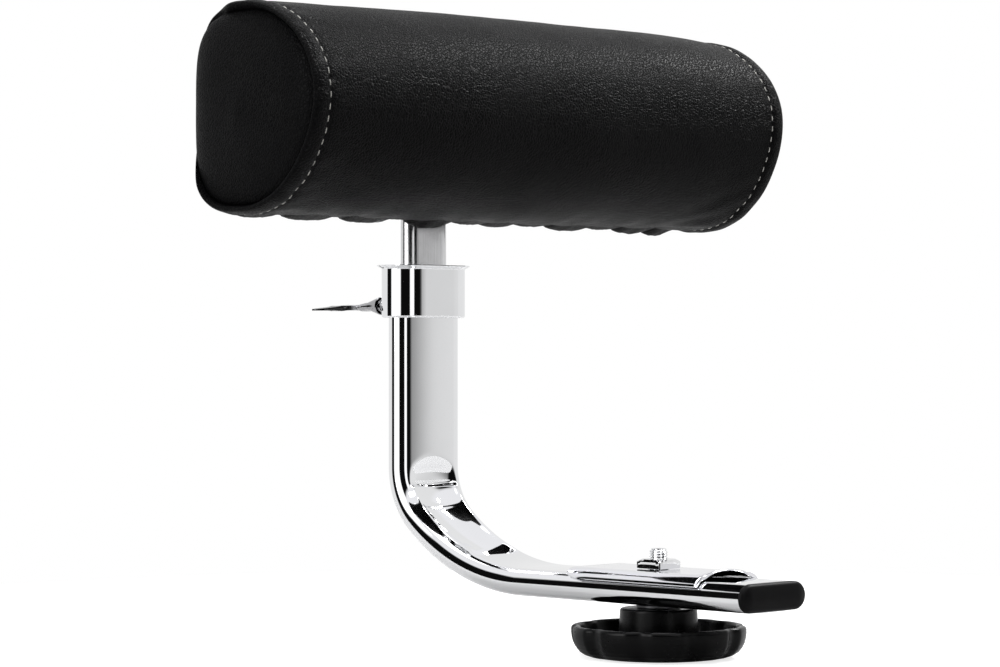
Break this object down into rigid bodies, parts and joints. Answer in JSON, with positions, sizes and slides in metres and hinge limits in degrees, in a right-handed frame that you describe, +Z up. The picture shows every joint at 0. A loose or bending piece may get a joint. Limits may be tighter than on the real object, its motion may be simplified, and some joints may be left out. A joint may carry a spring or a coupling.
{
  "type": "drum throne backrest",
  "caption": "Padded D-section backrest on a height-adjustable bar in a bent flat-oval tube, with a wing bolt and a hand-knob clamp that fixes it under a stool seat.",
  "frame": {"origin": "on the clamp stud's axis, at the saddle plate's top face, where the seat's bracket sits", "axes": "+X along the pad's length, -Y forward under the seat, +Z up along the stud and the post"},
  "size_m": [0.374, 0.3379, 0.35],
  "materials": {
    "chrome": "polished chrome plate",
    "satin_steel": "satin, drawn lengthwise",
    "knob_black": "semi-gloss moulded",
    "matte_black": "matte moulded",
    "leather": "black leatherette, fine grain, soft sheen",
    "lining": "black non-woven lining",
    "foam": "open-cell foam",
    "plywood": "raw plywood",
    "brass": "turned",
    "screw_black": "black zinc"
  },
  "bodies": {
    "post_frame": {"main_tube": "chrome", "bar_end_plug": "matte_black", "collar": "chrome", "guide_bush": "matte_black", "weld_nut": "chrome", "saddle_plate": "chrome", "knob_washer": "satin_steel"},
    "knob": {"hand_knob": "knob_black", "clamp_stud": "chrome"},
    "nut": {"square_nut": "chrome"},
    "bolt_carriage": {"pressure_pad": "brass"},
    "wing": {"wing_bolt": "chrome"},
    "pad_carrier": {"inner_tube": "satin_steel", "inner_tube_glide": "matte_black", "inner_tube_cap": "matte_black", "pad_bracket": "satin_steel", "back_board": "plywood", "foam_core": "foam", "cover_body": "leather", "end_panel_left": "leather", "end_panel_right": "leather", "dust_cover": "lining", "bracket_screw_1": "screw_black", "bracket_screw_2": "screw_black", "bracket_screw_3": "screw_black", "bracket_screw_4": "screw_black", "tee_nut_1": "satin_steel", "tee_nut_2": "satin_steel", "tee_nut_3": "satin_steel", "tee_nut_4": "satin_steel"}
  },
  "joints": [
    {"name": "height_slide", "type": "slide", "parent": "post_frame", "child": "pad_carrier", "axis": [0, 0, 1], "range_m": [-0.022, 0.045]},
    {"name": "knob_turn", "type": "hinge", "parent": "post_frame", "child": "knob", "pos_m": [0, 0, -0.035], "axis": [0, 0, 1], "range_deg": [-1440, 0]},
    {"name": "nut_rise", "type": "slide", "parent": "post_frame", "child": "nut", "axis": [0, 0, 1], "range_m": [0, 0.006]},
    {"name": "bolt_travel", "type": "slide", "parent": "post_frame", "child": "bolt_carriage", "axis": [0, 1, 0], "range_m": [0, 0.00438]},
    {"name": "wing_turn", "type": "hinge", "parent": "bolt_carriage", "child": "wing", "pos_m": [0, 0.23, 0.143], "axis": [0, 1, 0], "range_deg": [0, 1260]}
  ],
  "couplings": [
    {"joint": "nut_rise", "follows": "knob_turn", "m_per_rad": -0.00023873},
    {"joint": "wing_turn", "follows": "bolt_travel", "rad_per_m": 5026.5}
  ]
}
